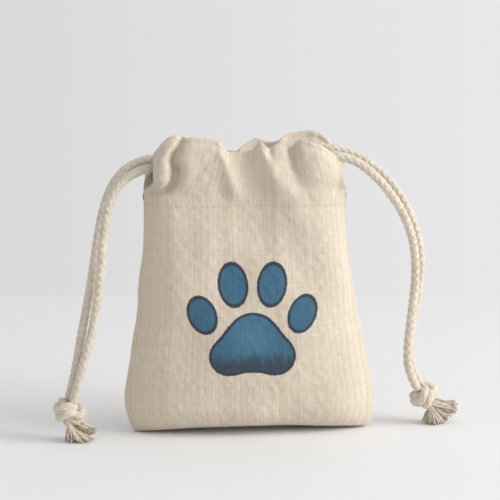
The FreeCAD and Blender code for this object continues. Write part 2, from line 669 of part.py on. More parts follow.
def tassel(name, top, axis, foot, extra=None):
    """Frayed end as one plain solid, from the knot's lower face to the table."""
    root = top + axis * D("knot_long")
    one = doc.addObject("Part::Circle", name + "_root")
    one.setExpression("Radius", "dims.tassel_root")
    one.Placement = Placement(root, Rotation(Vector(0, 0, 1), axis))
    two = doc.addObject("Part::Circle", name + "_foot")
    two.setExpression("Radius", "dims.tassel_foot")
    two.Placement = Placement(foot, Rotation(Vector(0, 0, 1), Vector(0, 0, -1)))
    lf = doc.addObject("Part::Loft", name + "_skirt")
    lf.Sections = [one, two]
    lf.Solid = True
    lf.Ruled = True
    doc.recompute()
    if extra is None:
        return keep(lf, name)
    a, b, r1, r2 = extra
    cone = doc.addObject("Part::Cone", name + "_side_bundle")
    cone.Radius1, cone.Radius2 = r1, r2
    cone.Height = (b - a).Length
    cone.Placement = Placement(a, Rotation(Vector(0, 0, 1), b - a))
    fu = doc.addObject("Part::Fuse", name + "_both")
    fu.Base, fu.Tool = lf, cone
    doc.recompute()
    return keep(fu, name)


top, axis = knot("left_knot", ["left_strand_front", "left_strand_back"])
print("left knot top", top, "axis", axis)
tassel("left_tassel", top, axis, Vector(-99.0, -19.5, 0))
top, axis = knot("right_knot", ["right_strand_front", "right_strand_back"])
print("right knot top", top, "axis", axis)
tassel("right_tassel", top, axis, Vector(111.5, 3.6, 0),
       (Vector(110.0, 4.2, 8.6), Vector(121.5, 3.9, 8.2), 3.2, 4.6))

# ------------------------------------------------------------------ checks and output
doc.recompute()
bad = []
for o in doc.Objects:
    st = list(o.State)
    if "Invalid" in st or "Error" in st:
        bad.append("%s %s" % (o.Label, st))
for o in PARTS:
    sh = o.Shape
    if sh.isNull() or not sh.isValid() or not sh.Solids:
        bad.append("%s has no valid solid" % o.Label)
if bad:
    raise SystemExit("not written: " + "; ".join(bad))
os.makedirs("parts", exist_ok=True)
for o in PARTS:
    o.Shape.exportStep("parts/%s.step" % o.Label)
    bb = o.Shape.BoundBox
    print("%-22s solids %d  volume %.0f mm3  x %.1f..%.1f  y %.1f..%.1f  z %.2f..%.1f" % (
        o.Label, len(o.Shape.Solids), o.Shape.Volume, bb.XMin, bb.XMax, bb.YMin, bb.YMax, bb.ZMin, bb.ZMax))
print("pieces:", len(PARTS))
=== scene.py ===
import math

import bpy
import numpy as np
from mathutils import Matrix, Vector


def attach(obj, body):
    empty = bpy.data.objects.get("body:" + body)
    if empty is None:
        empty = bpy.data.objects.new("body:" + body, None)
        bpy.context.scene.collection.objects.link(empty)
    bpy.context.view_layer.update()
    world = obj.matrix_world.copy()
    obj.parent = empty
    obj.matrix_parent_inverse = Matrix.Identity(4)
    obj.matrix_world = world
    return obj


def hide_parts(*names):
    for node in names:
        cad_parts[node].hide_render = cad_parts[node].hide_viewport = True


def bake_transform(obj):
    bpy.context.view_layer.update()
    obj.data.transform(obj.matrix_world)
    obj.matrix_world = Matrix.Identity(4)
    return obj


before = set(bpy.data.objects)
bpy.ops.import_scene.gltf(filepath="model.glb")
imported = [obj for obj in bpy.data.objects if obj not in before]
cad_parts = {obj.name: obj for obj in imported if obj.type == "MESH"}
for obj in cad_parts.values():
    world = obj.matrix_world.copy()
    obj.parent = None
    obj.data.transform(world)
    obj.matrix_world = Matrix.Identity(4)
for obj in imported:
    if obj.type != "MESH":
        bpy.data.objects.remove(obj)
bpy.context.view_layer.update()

scene = bpy.context.scene
scene.view_settings.view_transform = "Standard"


def link(ob):
    scene.collection.objects.link(ob)
    return ob


# ---------------------------------------------------------------- camera
AZ, EL = math.radians(-5.0), math.radians(8.5)
back = Vector((math.sin(AZ) * math.cos(EL), -math.cos(AZ) * math.cos(EL), math.sin(EL)))
cam = link(bpy.data.objects.new("camera", bpy.data.cameras.new("camera")))
cam.location = Vector((0, 0, 0.1055)) + back
cam.rotation_mode = "QUATERNION"
cam.rotation_quaternion = (-back).to_track_quat("-Z", "Y")
cam.data.sensor_width = 36.0
cam.data.lens = 125.2
cam.data.shift_x = 0.003
cam.data.clip_start, cam.data.clip_end = 0.05, 20
scene.camera = cam


# ---------------------------------------------------------------- small helpers
def smoothstep(t):
    t = np.clip(t, 0, 1)
    return t * t * (3 - 2 * t)


def soft(x, xs, ys, width):
    """ys over xs, rounded with a bell of that width."""
    k = np.linspace(-2.5, 2.5, 21)
    w = np.exp(-0.5 * k * k)
    w /= w.sum()
    x = np.asarray(x, float)
    out = np.zeros_like(x)
    for a, b in zip(k, w):
        out += b * np.interp(x + a * width, xs, ys)
    return out


def ripples(a, b, seed, n, la, lb, angle=None):
    """A smooth random field of unit size: n waves with wavelengths la and lb along a and b."""
    r = np.random.default_rng(seed)
    out = np.zeros(np.broadcast(a, b).shape)
    for _ in range(n):
        ka = 2 * math.pi / r.uniform(*la) * r.choice([-1, 1])
        kb = 2 * math.pi / r.uniform(*lb) * r.choice([-1, 1])
        out += np.cos(ka * a + kb * b + r.uniform(0, 6.283))
    return out / math.sqrt(n / 2)


def make_mesh(name, verts, faces, normals=None):
    me = bpy.data.meshes.new(name)
    me.from_pydata([tuple(v) for v in np.asarray(verts) * 0.001], [], [tuple(int(i) for i in f) for f in faces])
    me.polygons.foreach_set("use_smooth", [True] * len(me.polygons))
    me.update()
    if normals is not None:
        me.normals_split_custom_set_from_vertices([tuple(n) for n in normals])
    return link(bpy.data.objects.new(name, me))


def store(ob, name, values):
    at = ob.data.attributes.new(name, "FLOAT_VECTOR", "POINT")
    at.data.foreach_set("vector", np.asarray(values, np.float32).ravel())


def route_line(name, pts, fine=28):
    """The points (mm) of the smooth spline that a route's points steer."""
    cu = bpy.data.curves.new(name, "CURVE")
    cu.dimensions = "3D"
    cu.resolution_u = fine
    sp = cu.splines.new("NURBS")
    sp.points.add(len(pts) - 1)
    for p, c in zip(sp.points, pts):
        p.co = (c[0] * 0.001, c[1] * 0.001, c[2] * 0.001, 1.0)
    sp.order_u = 3
    sp.use_endpoint_u = True
    ob = bpy.data.objects.new(name, cu)
    me = bpy.data.meshes.new_from_object(ob)
    line = np.array([v.co for v in me.vertices], float) * 1000
    bpy.data.meshes.remove(me)
    bpy.data.objects.remove(ob)
    bpy.data.curves.remove(cu)
    return line


def along(line):
    return np.concatenate([[0], np.cumsum(np.linalg.norm(np.diff(line, axis=0), axis=1))])


def frames(line, first=(0.3, 1.0, 0.2)):
    """Tangent and two sideways directions along a line, without twist."""
    t = np.gradient(line, axis=0)
    t /= np.maximum(np.linalg.norm(t, axis=1), 1e-9)[:, None]
    n = np.zeros_like(t)
    v = np.array(first, float)
    for i in range(len(t)):
        v = v - t[i] * (v @ t[i])
        v /= max(np.linalg.norm(v), 1e-9)
        n[i] = v
    return t, n, np.cross(t, n)


def skin(line, radius, nt, phase=0.0, first=(0.3, 1.0, 0.2), caps=True):
    """Vertices and quads of a tube; radius(theta, s) in mm; ends closed by short domes."""
    t, n, b = frames(line, first)
    s = along(line)
    th = np.linspace(0, 2 * math.pi, nt, endpoint=False) + phase
    r = radius(th[None, :] + 0 * s[:, None], s[:, None] + 0 * th[None, :])
    ring = n[:, None, :] * np.cos(th)[None, :, None] + b[:, None, :] * np.sin(th)[None, :, None]
    v = line[:, None, :] + ring * r[:, :, None]
    v = v.reshape(-1, 3)
    m = len(line)
    i = np.arange(m - 1)[:, None] * nt
    j = np.arange(nt)[None, :]
    k = (j + 1) % nt
    f = np.stack([i + j, i + k, i + nt + k, i + nt + j], -1).reshape(-1, 4).tolist()
    uv = np.stack([th[None, :] * 2.5 + 0 * s[:, None], s[:, None] + 0 * th[None, :], 0 * r], -1).reshape(-1, 3)
    if caps:
        v = np.vstack([v, line[0] - t[0] * 0.4 * r[0].mean(), line[-1] + t[-1] * 0.4 * r[-1].mean()])
        uv = np.vstack([uv, [0, 0, 0], [0, s[-1], 0]])
        a, z = m * nt, m * nt + 1
        last = (m - 1) * nt
        for q in range(nt):
            f.append([a, (q + 1) % nt, q])
            f.append([z, last + q, last + (q + 1) % nt])
    return v, f, uv


def braid(d, lay=4.6, n=4, depth=0.2):
    """Radius of a braided cord of diameter d: two families of n yarns that cross."""
    def r(th, s):
        a = n * th / (2 * math.pi) + s / lay
        b = n * th / (2 * math.pi) - s / lay
        fa, fb = a - np.floor(a), b - np.floor(b)
        odd = (np.floor(a) + np.floor(b)) % 2
        ha, hb = np.sin(math.pi * fa), np.sin(math.pi * fb)
        h = np.where(odd < 0.5, ha ** 0.55 * (0.45 + 0.55 * hb ** 0.5), hb ** 0.55 * (0.45 + 0.55 * ha ** 0.5))
        return d / 2 * (1 - depth + depth * 1.35 * h)
    return r


def join(parts):
    """One set of vertices and faces (and texture coordinates) from several."""
    vs, fs, us, n = [], [], [], 0
    for v, f, u in parts:
        vs.append(v)
        us.append(u)
        fs += [[i + n for i in q] for q in f]
        n += len(v)
    return np.vstack(vs), fs, np.vstack(us)


# ---------------------------------------------------------------- node helpers
class Nodes:
    def __init__(self, name):
        self.mat = bpy.data.materials.new(name)
        self.mat.use_nodes = True
        self.t = self.mat.node_tree
        self.bsdf = self.t.nodes["Principled BSDF"]
        self.x = 0

    def new(self, kind, **props):
        n = self.t.nodes.new(kind)
        self.x += 40
        n.location = (self.x - 4000, -300)
        for k, v in props.items():
            setattr(n, k, v)
        return n

    def put(self, socket, value):
        if isinstance(value, bpy.types.NodeSocket):
            self.t.links.new(value, socket)
        elif value is not None:
            socket.default_value = value

    def m(self, op, a, b=None, c=None, clamp=False):
        n = self.new("ShaderNodeMath", operation=op, use_clamp=clamp)
        for i, v in enumerate((a, b, c)):
            self.put(n.inputs[i], v)
        return n.outputs[0]

    def attr(self, name):
        n = self.new("ShaderNodeAttribute", attribute_name=name, attribute_type="GEOMETRY")
        s = self.new("ShaderNodeSeparateXYZ")
        self.put(s.inputs[0], n.outputs["Vector"])
        return s.outputs[0], s.outputs[1], s.outputs[2], n.outputs["Vector"]

    def vec(self, x, y, z):
        n = self.new("ShaderNodeCombineXYZ")
        for i, v in enumerate((x, y, z)):
            self.put(n.inputs[i], v)
        return n.outputs[0]

    def noise(self, v, scale=1.0, detail=2.0, rough=0.5):
        n = self.new("ShaderNodeTexNoise")
        self.put(n.inputs["Vector"], v)
        n.inputs["Scale"].default_value = scale
        n.inputs["Detail"].default_value = detail
        n.inputs["Roughness"].default_value = rough
        return n.outputs[0]

    def white(self, v):
        n = self.new("ShaderNodeTexWhiteNoise", noise_dimensions="2D")
        self.put(n.inputs["Vector"], v)
        return n.outputs[0]

    def ramp(self, x, stops, interp="LINEAR"):
        n = self.new("ShaderNodeValToRGB")
        n.color_ramp.interpolation = interp
        while len(n.color_ramp.elements) < len(stops):
            n.color_ramp.elements.new(0.5)
        for e, (p, c) in zip(n.color_ramp.elements, stops):
            e.position = p
            e.color = (*c, 1) if len(c) == 3 else c
        self.put(n.inputs[0], x)
        return n.outputs[0]

    def mix(self, f, a, b, blend="MIX"):
        n = self.new("ShaderNodeMix", data_type="RGBA", blend_type=blend)
        self.put(n.inputs[0], f)
        self.put(n.inputs[6], (*a, 1) if isinstance(a, tuple) else a)
        self.put(n.inputs[7], (*b, 1) if isinstance(b, tuple) else b)
        return n.outputs[2]

    def range(self, x, a, b, c, d):
        n = self.new("ShaderNodeMapRange", clamp=True)
        for i, v in enumerate((x, a, b, c, d)):
            self.put(n.inputs[i], v)
        return n.outputs[0]

    def bump(self, h, distance, strength=1.0, before=None):
        n = self.new("ShaderNodeBump")
        n.inputs["Strength"].default_value = strength
        n.inputs["Distance"].default_value = distance
        self.put(n.inputs["Height"], h)
        if before is not None:
            self.put(n.inputs["Normal"], before)
        return n.outputs[0]


def lin(r, g, b):
    return tuple(((c / 255 + 0.055) / 1.055) ** 2.4 if c > 10 else c / 255 / 12.92 for c in (r, g, b))


def fabric_finish(k, rough=0.92, sheen=0.18, tint=(1.0, 0.95, 0.86)):
    k.bsdf.inputs["Roughness"].default_value = rough
    k.bsdf.inputs["Specular IOR Level"].default_value = 0.18
    k.bsdf.inputs["Sheen Weight"].default_value = sheen
    k.bsdf.inputs["Sheen Roughness"].default_value = 0.55
    k.bsdf.inputs["Sheen Tint"].default_value = (*tint, 1)


def canvas_material(name, with_motif):
    """Plain-woven unbleached cotton: warp and weft threads, slubs, seed flecks; and the printed paw."""
    k = Nodes(name)
    u, v, _, uv = k.attr("flat")          # mm on the cut cloth
    cu, cv = k.m("DIVIDE", u, 1.22), k.m("DIVIDE", v, 0.96)
    # threads wander a little
    wob = k.noise(k.vec(k.m("MULTIPLY", u, 0.05), k.m("MULTIPLY", v, 0.05), 0.0), 1.0, 2.0)
    cu = k.m("ADD", cu, k.m("MULTIPLY", wob, 1.1))
    cv = k.m("ADD", cv, k.m("MULTIPLY", k.noise(k.vec(k.m("MULTIPLY", u, 0.04), k.m("MULTIPLY", v, 0.07), 4.0), 1.0, 2.0), 1.6))
    iu, iv = k.m("FLOOR", cu), k.m("FLOOR", cv)
    fu, fv = k.m("FRACT", cu), k.m("FRACT", cv)
    hu = k.m("SINE", k.m("MULTIPLY", fu, math.pi))
    hv = k.m("SINE", k.m("MULTIPLY", fv, math.pi))
    odd = k.m("MODULO", k.m("ADD", k.m("ADD", iu, iv), 1000.0), 2.0)
    odd = k.m("GREATER_THAN", odd, 0.5)
    # how thick each thread is along its length
    slub_u = k.noise(k.vec(k.m("MULTIPLY", iu, 7.31), k.m("MULTIPLY", v, 0.13), 0.0), 1.0, 3.0, 0.6)
    slub_v = k.noise(k.vec(k.m("MULTIPLY", u, 0.05), k.m("MULTIPLY", iv, 5.17), 9.0), 1.0, 3.0, 0.6)
    own_u = k.white(k.vec(iu, 3.0, 0.0))
    own_v = k.white(k.vec(iv, 8.0, 0.0))
    cell = k.m("ADD", k.m("MULTIPLY", k.m("POWER", hu, 0.6), odd), k.m("MULTIPLY", k.m("POWER", hv, 0.6), k.m("SUBTRACT", 1.0, odd)))
    over = k.m("ADD", k.m("MULTIPLY", cell, 0.45), k.m("MULTIPLY", k.m("POWER", hu, 0.7), 0.55))
    height = k.m("MULTIPLY", over, k.m("ADD", 0.55, k.m("MULTIPLY", slub_u, 0.9)))
    # colour
    warp = k.m("ADD", k.m("MULTIPLY", k.m("SUBTRACT", slub_u, 0.5), 0.75), k.m("MULTIPLY", k.m("SUBTRACT", own_u, 0.5), 0.34))
    weft = k.m("ADD", k.m("MULTIPLY", k.m("SUBTRACT", slub_v, 0.5), 0.55), k.m("MULTIPLY", k.m("SUBTRACT", own_v, 0.5), 0.2))
    tone = k.m("ADD", 0.5, k.m("ADD", k.m("MULTIPLY", warp, 0.55), k.m("MULTIPLY", weft, 0.35)))
    col = k.ramp(tone, [(0.0, lin(176, 161, 139)), (0.32, lin(208, 195, 176)), (0.62, lin(226, 215, 198)), (1.0, lin(240, 232, 218))])
    # painted shade: the colour is darkened towards brown in the gaps between the threads, where the weave's bump is
    # low
    gap = k.m("SUBTRACT", 1.0, over)
    col = k.mix(k.m("MULTIPLY", k.m("POWER", gap, 1.3), 0.34), col, lin(150, 130, 104))
    # large soft changes and seed flecks
    big = k.noise(k.vec(k.m("MULTIPLY", u, 0.02), k.m("MULTIPLY", v, 0.02), 2.0), 1.0, 3.0)
    col = k.mix(k.range(big, 0.35, 0.7, 0.0, 0.16), col, lin(204, 188, 164))
    fleck = k.noise(k.vec(k.m("MULTIPLY", u, 0.55), k.m("MULTIPLY", v, 0.3), 6.0), 1.0, 1.0)
    col = k.mix(k.range(fleck, 0.74, 0.8, 0.0, 0.5), col, lin(150, 122, 88))
    slot_h = k.m("MULTIPLY", height, 1.0)
    if with_motif:
        x, z, front, _ = k.attr("motif")   # mm from the middle of the print
        edge = k.m("MULTIPLY", k.m("SUBTRACT", k.noise(k.vec(k.m("MULTIPLY", x, 0.9), k.m("MULTIPLY", z, 0.9), 0.0), 1.0, 2.0), 0.5), 0.9)

        def oval(cx, cz, rx, rz, turn=0.0):
            dx, dz = k.m("SUBTRACT", x, cx), k.m("SUBTRACT", z, cz)
            if turn:
                c, s = math.cos(math.radians(turn)), math.sin(math.radians(turn))
                dx, dz = (k.m("ADD", k.m("MULTIPLY", dx, c), k.m("MULTIPLY", dz, s)),
                          k.m("SUBTRACT", k.m("MULTIPLY", dz, c), k.m("MULTIPLY", dx, s)))
            q = k.m("SQRT", k.m("ADD", k.m("POWER", k.m("DIVIDE", k.m("ABSOLUTE", dx), rx), 2.0), k.m("POWER", k.m("DIVIDE", k.m("ABSOLUTE", dz), rz), 2.0)))
            return k.m("MULTIPLY", k.m("SUBTRACT", q, 1.0), min(rx, rz))

        def either(a, b, r=0.0):
            return k.m("SMOOTH_MIN", a, b, r) if r else k.m("MINIMUM", a, b)

        pad = either(oval(0, -12.5, 18.5, 16.0), oval(-13.2, -19.2, 11.6, 11.2), 7.0)
        pad = either(pad, oval(13.2, -19.2, 11.6, 11.2), 7.0)
        pad = either(pad, oval(0, -3.6, 11.5, 9.6), 6.0)
        shape = either(pad, oval(-28.5, 5.0, 8.2, 11.8, 22))
        shape = either(shape, oval(28.5, 5.0, 8.2, 11.8, -22))
        shape = either(shape, oval(-11.0, 22.0, 8.6, 13.2, 7))
        shape = either(shape, oval(11.0, 22.0, 8.6, 13.2, -7))
        d = k.m("ADD", shape, edge)
        inside = k.m("MULTIPLY", k.range(d, -0.22, 0.22, 1.0, 0.0), front)
        body = k.range(d, -1.7, -1.3, 1.0, 0.0)
        blue = k.mix(k.range(z, -34.0, 30.0, 0.0, 1.0), lin(42, 98, 130), lin(52, 110, 142))
        glow = k.range(k.m("SQRT", k.m("ADD", k.m("POWER", k.m("ABSOLUTE", x), 2.0), k.m("POWER", k.m("ABSOLUTE", k.m("ADD", z, 8.0)), 2.0))), 0.0, 34.0, 1.0, 0.0)
        blue = k.mix(k.m("MULTIPLY", glow, 0.55), blue, lin(68, 132, 162))
        low = k.m("ADD", z, k.m("MULTIPLY", k.noise(k.vec(k.m("MULTIPLY", x, 0.33), k.m("MULTIPLY", z, 0.12), 5.0), 1.0, 4.0, 0.7), 15.0))
        blue = k.mix(k.range(low, -16.0, -8.5, 1.0, 0.0), blue, lin(38, 58, 78))
        dots = k.noise(k.vec(k.m("MULTIPLY", x, 1.3), k.m("MULTIPLY", z, 1.3), 1.0), 1.0, 2.0)
        blue = k.mix(k.range(dots, 0.62, 0.7, 0.0, 0.35), blue, lin(96, 156, 186))
        ink = k.mix(body, lin(33, 48, 66), blue)
        ink = k.mix(k.m("MULTIPLY", k.m("POWER", gap, 1.4), 0.35), ink, lin(120, 140, 150))
        ink = k.mix(k.range(tone, 0.2, 0.85, 0.28, 0.0), ink, lin(20, 34, 50))
        col = k.mix(k.m("MULTIPLY", inside, 0.97), col, ink)
    k.put(k.bsdf.inputs["Base Color"], col)
    fabric_finish(k)
    coarse = k.noise(k.vec(k.m("MULTIPLY", u, 0.25), k.m("MULTIPLY", v, 0.25), 3.0), 1.0, 3.0)
    b1 = k.bump(coarse, 0.0006, 0.5)
    k.put(k.bsdf.inputs["Normal"], k.bump(slot_h, 0.00014, 0.9, b1))
    return k.mat


def cord_material(name, dark=0.0):
    """Soft cotton cord: many fine fibres across the yarns, darker in the grooves as painted shade on top of the
    fibres' own tone; yarn tips darkened as painted shade.
    """
    k = Nodes(name)
    u, v, g, uv = k.attr("flat")
    fibre = k.noise(k.vec(k.m("MULTIPLY", u, 2.2), k.m("MULTIPLY", v, 0.5), g), 1.0, 4.0, 0.6)
    wide = k.noise(k.vec(k.m("MULTIPLY", u, 0.2), k.m("MULTIPLY", v, 0.12), 7.0), 1.0, 2.0)
    # painted shade: the colour follows the same fibre noise as the bump, so the grooves come out darker, besides the
    # fibres' own tone
    t = k.m("ADD", k.m("MULTIPLY", fibre, 0.7), k.m("MULTIPLY", wide, 0.3))
    col = k.ramp(t, [(0.25, lin(176, 162, 142)), (0.45, lin(208, 197, 179)), (0.6, lin(226, 217, 202)), (0.8, lin(240, 233, 221))])
    # painted shade: yarn tips darkened towards brown, standing in for the contact shade where the tassel ends rest on
    # the table
    painted_tip_shade = k.range(g, 0.0, 1.0, 0.0, 1.0)
    col = k.mix(k.m("MULTIPLY", painted_tip_shade, 0.6), col, lin(140, 118, 98))
    k.put(k.bsdf.inputs["Base Color"], col)
    fabric_finish(k, 0.88, 0.3)
    k.put(k.bsdf.inputs["Normal"], k.bump(fibre, 0.0003, 0.6))
    return k.mat


# ---------------------------------------------------------------- cords
ROUTES = {
    "left_strand_front": [
        (-41, -10.0, 155.7), (-49.5, -10.6, 155.7), (-61.5, -11.9, 153.6), (-71.9, -13.3, 148.2),
        (-78.8, -15.4, 138.2), (-82.1, -17.2, 124.6), (-83.8, -18.6, 110.2), (-85.1, -19.4, 95.4),
        (-87.0, -20.0, 80.6), (-89.4, -20.6, 66.2), (-92.9, -21.1, 52.3), (-97.6, -21.47, 37.5),
        (-101.3, -21.9, 23.0)],
    "left_strand_back": [
        (-41, 10.0, 158.2), (-49.5, 10.3, 158.2), (-61.3, 9.9, 156.8), (-71.6, 6.2, 151.6),
        (-79.2, 1.0, 141.6), (-83.5, -4.4, 128.8), (-86.4, -9.0, 114.6), (-88.7, -12.2, 99.8),
        (-91.2, -14.3, 85.1), (-94.1, -15.5, 70.5), (-97.0, -15.9, 56.1), (-99.847, -16.129, 39.39),
        (-103.9, -16.6, 23.506)],
    "right_strand_front": [
        (41, -10.0, 161.05), (49.5, -10.6, 161.05), (60.5, -11.6, 157.6), (70.6, -11.0, 149.9),
        (79.6, -9.3, 140.0), (87.3, -7.0, 129.0), (93.2, -4.0, 116.8), (96.8, -1.4, 103.2),
        (97.6, 0.2, 88.9), (96.6, 1.0, 74.5), (95.0, 1.4, 60.2), (93.5, 1.5, 45.2),
        (94.2, 1.5, 31.6), (100.2, 1.5, 21.0)],
    "right_strand_back": [
        (41, 10.0, 163.55), (49.5, 10.6, 163.55), (60.8, 11.7, 160.3), (71.8, 11.7, 154.2),
        (81.6, 11.3, 145.9), (89.6, 10.5, 135.4), (96.0, 9.5, 123.3), (100.5, 8.3, 110.2),
        (102.0, 7.4, 96.2), (101.0, 6.9, 81.8), (98.4, 6.8, 67.2), (95.7, 6.9, 50.5),
        (95.904, 6.9, 34.656), (102.8, 6.9, 22.472)],
}
LOOPS = {
    "left_cord_loop": [
        (-41, -10.0, 155.7), (-33, -9.6, 155.2), (-22, -9.4, 153.4), (-9, -9.4, 150.6), (4, -9.4, 150.6), (16, -9.4, 152.6), (30, -9.4, 154.6),
        (40.5, -9.0, 155.6), (43.8, 0, 156.4), (40.5, 9.0, 157.2), (30, 9.6, 157.4), (19, 9.6, 156.2), (8, 9.5, 153.4), (-4, 9.5, 151.0),
        (-16, 9.5, 151.4), (-30, 9.7, 156.2), (-41, 10.0, 158.2)],
    "right_cord_loop": [
        (41, -10.0, 161.05), (32, -9.7, 160.6), (24, -9.5, 159.3), (14, -9.4, 157.6), (2, -9.4, 155.9), (-8, -9.4, 155.9), (-18, -9.4, 158.6),
        (-30, -9.4, 160.7), (-40.5, -9.0, 161.2), (-43.8, 0, 161.8), (-40.5, 9.0, 162.3), (-26, 9.6, 159.4), (-14, 9.5, 156.4), (-6, 9.5, 156.4),
        (4, 9.5, 158.6), (16, 9.6, 161.2), (30, 9.8, 163.0), (41, 10.0, 163.55)],
}
CORD_D = 5.0
cord_mat = cord_material("cotton_cord")

cords, cord_lines = {}, {}
for name, pts in ROUTES.items():
    line = route_line(name, pts)
    cord_lines[name] = line
    v, f, uv = skin(line, braid(CORD_D), 30)
    ob = make_mesh("braided_" + name, v, f)
    store(ob, "flat", uv)
    ob.data.materials.append(cord_mat)
    body = "left_drawstring" if name.startswith("left") else "right_drawstring"
    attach(ob, body)
    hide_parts(name)
    cords[name] = ob
for name, pts in LOOPS.items():
    line = route_line(name, pts, 24)
    v, f, uv = skin(line, braid(CORD_D * 0.97), 24)
    ob = make_mesh("braided_" + name, v, f)
    store(ob, "flat", uv)
    ob.data.materials.append(cord_mat)
    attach(ob, "left_drawstring" if name.startswith("left") else "right_drawstring")
    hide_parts(name)


# ---------------------------------------------------------------- knots
def axes_of(axis, side=(0, 1, 0)):
    w = np.array(axis, float)
    w /= np.linalg.norm(w)
    e = np.array(side, float)
    e -= w * (e @ w)
    e /= np.linalg.norm(e)
    return np.cross(e, w), e, w     # roughly +x, +y (away), down the knot


def knot(name, top, axis, turn, wide, tall, rope):
    """Overhand knot in the doubled cord: a wrap pulled tight over the two strands that pass down through it."""
    top = np.array(top, float)
    ex, ey, ew = axes_of(axis)
    mid = top + ew * 6.0
    parts = []

    def local(x, y, w):
        return mid[None, :] + x[:, None] * ex + y[:, None] * ey + w[:, None] * ew

    t = np.linspace(0, 2 * math.pi, 200)
    c, s = math.cos(turn), math.sin(turn)
    for side in (-1, 1):
        # two cords lie side by side all the way round the knot
        big, small = wide - rope * 0.95, 0.0
        gx = (np.sin(t) + 2 * np.sin(2 * t)) / 3 * big * 1.02
        gy = (np.cos(t) - 2 * np.cos(2 * t)) / 3 * big * 0.9
        gw = -np.sin(3 * t) * (tall - rope) * 0.62
        x, y = c * gx - s * gy, s * gx + c * gy
        line = local(x, y, gw)
        tt, n, b = frames(line)
        # outward from the knot's middle
        out = line - mid[None, :]
        out /= np.maximum(np.linalg.norm(out, axis=1), 1e-6)[:, None]
        across = np.cross(tt, out)
        across /= np.maximum(np.linalg.norm(across, axis=1), 1e-6)[:, None]
        line = line + across * side * rope * 0.52
        parts.append(skin(line, braid(rope * 1.5, lay=4.2, depth=0.22), 24, phase=side, caps=False))
    return parts


def knot_piece(name, node, body, top, axis, turn, wide, tall, rope):
    v, f, uv = join(knot(name, top, axis, turn, wide, tall, rope))
    ob = make_mesh(name, v, f)
    store(ob, "flat", uv)
    ob.data.materials.append(cord_mat)
    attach(ob, body)
    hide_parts(node)
    return ob


left_knot = knot_piece("overhand_left_knot", "left_knot", "left_drawstring", (-102.6, -19.25, 23.25), (-0.247, -0.029, -0.969), 0.5, 10.9, 6.9, 3.45)
right_knot = knot_piece("overhand_right_knot", "right_knot", "right_drawstring", (101.5, 4.2, 21.74), (0.493, 0.0, -0.870), 2.1, 10.3, 6.5, 3.3)


# ---------------------------------------------------------------- tassels
def yarns(seed, count, root, root_r, root_dir, targets, thick=0.36, bulge=2.0, curl=0.5, low=0.35):
    """Loose yarns from the foot of a knot to points on or near the table."""
    r = np.random.default_rng(seed)
    parts = []
    root = np.array(root, float)
    d = np.array(root_dir, float)
    d /= np.linalg.norm(d)
    ex, ey, _ = axes_of(d)
    for i in range(count):
        a, q = r.uniform(0, 2 * math.pi), root_r * math.sqrt(r.uniform(0.02, 1))
        start = root + ex * q * math.cos(a) + ey * q * math.sin(a) - d * 2.5
        end = targets(r, a, q / root_r)
        lead = start + d * r.uniform(3.5, 6.0)
        mid = (lead + end) / 2
        out = mid - (root + (end - root) * 0.5)
        mid = mid + np.array([math.cos(a), math.sin(a), 0.25]) * bulge * r.uniform(0.2, 1.0) + r.normal(0, 0.35, 3)
        u = np.linspace(0, 1, 22)[:, None]
        b0, b1, b2, b3, b4 = (1 - u) ** 4, 4 * u * (1 - u) ** 3, 6 * u * u * (1 - u) ** 2, 4 * u ** 3 * (1 - u), u ** 4
        pre = (mid + end) / 2 + r.normal(0, 0.4, 3)
        line = b0 * start + b1 * lead + b2 * mid + b3 * pre + b4 * end
        ph = r.uniform(0, 6.28, 3)
        wave = np.stack([np.sin(u[:, 0] * r.uniform(9, 15) + p) for p in ph], -1)
        line = line + wave * curl * 0.35 * u
        th = thick * r.uniform(0.75, 1.25)
        line[:, 2] = np.maximum(line[:, 2], low + th * 0.6)
        taper = lambda tt, s, th=th: th * (1.0 + 0.18 * np.cos(2 * tt + s * 1.6)) * (1 - 0.25 * (s / max(s.max(), 1e-6)) ** 3)
        v, f, uv = skin(line, taper, 7)
        s = np.append(np.repeat(np.linspace(0, 1, 22), 7), [0, 1])
        # how strongly each yarn's tip gets painted shade, rising over the last fifth of its length
        tip_shade_weight = np.clip((s - 0.78) / 0.22, 0, 1) * r.uniform(0.3, 1.0)
        uv = np.stack([uv[:, 0] * 0.3 + i * 3.1, uv[:, 1], tip_shade_weight], -1)
        parts.append((v, f, uv))
    return parts


def left_foot(r, a, q):
    rad = 7.9 * math.sqrt(r.uniform(0.1, 1))
    b = a + r.normal(0, 0.35)
    return np.array([-98.3 + rad * 1.08 * math.cos(b), -19.6 + rad * 0.85 * math.sin(b), r.uniform(0.3, 1.6)])


def left_side_end(r, a, q):
    b = r.uniform(0, 6.28)
    rad = 3.4 * math.sqrt(r.uniform(0, 1))
    return np.array([-90.6 + rad * 0.8 * math.cos(b), -19.4 + rad * math.sin(b), 5.2 + rad * 0.9 * math.cos(b + 1.2)])


def right_foot(r, a, q):
    rad = 7.2 * math.sqrt(r.uniform(0.1, 1))
    b = a + r.normal(0, 0.35)
    return np.array([110.6 + rad * 1.02 * math.cos(b), 3.2 + rad * 0.85 * math.sin(b), r.uniform(0.3, 1.6)])


def right_side_end(r, a, q):
    b = r.uniform(0, 6.28)
    rad = 4.4 * math.sqrt(r.uniform(0, 1))
    return np.array([122.4 + r.normal(0, 0.9), 3.8 + rad * math.cos(b), 9.6 + rad * 0.95 * math.sin(b)])


def right_low_end(r, a, q):
    b = r.uniform(0, 6.28)
    rad = 3.6 * math.sqrt(r.uniform(0, 1))
    return np.array([118.6 + rad * math.cos(b), 3.6 + rad * math.sin(b), 4.8 + rad * 0.9 * math.sin(b + 0.8)])


def tassel_piece(name, node, body, parts):
    v, f, uv = join(parts)
    ob = make_mesh(name, v, f)
    store(ob, "flat", uv)
    ob.data.materials.append(fray_mat)
    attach(ob, body)
    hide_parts(node)
    return ob


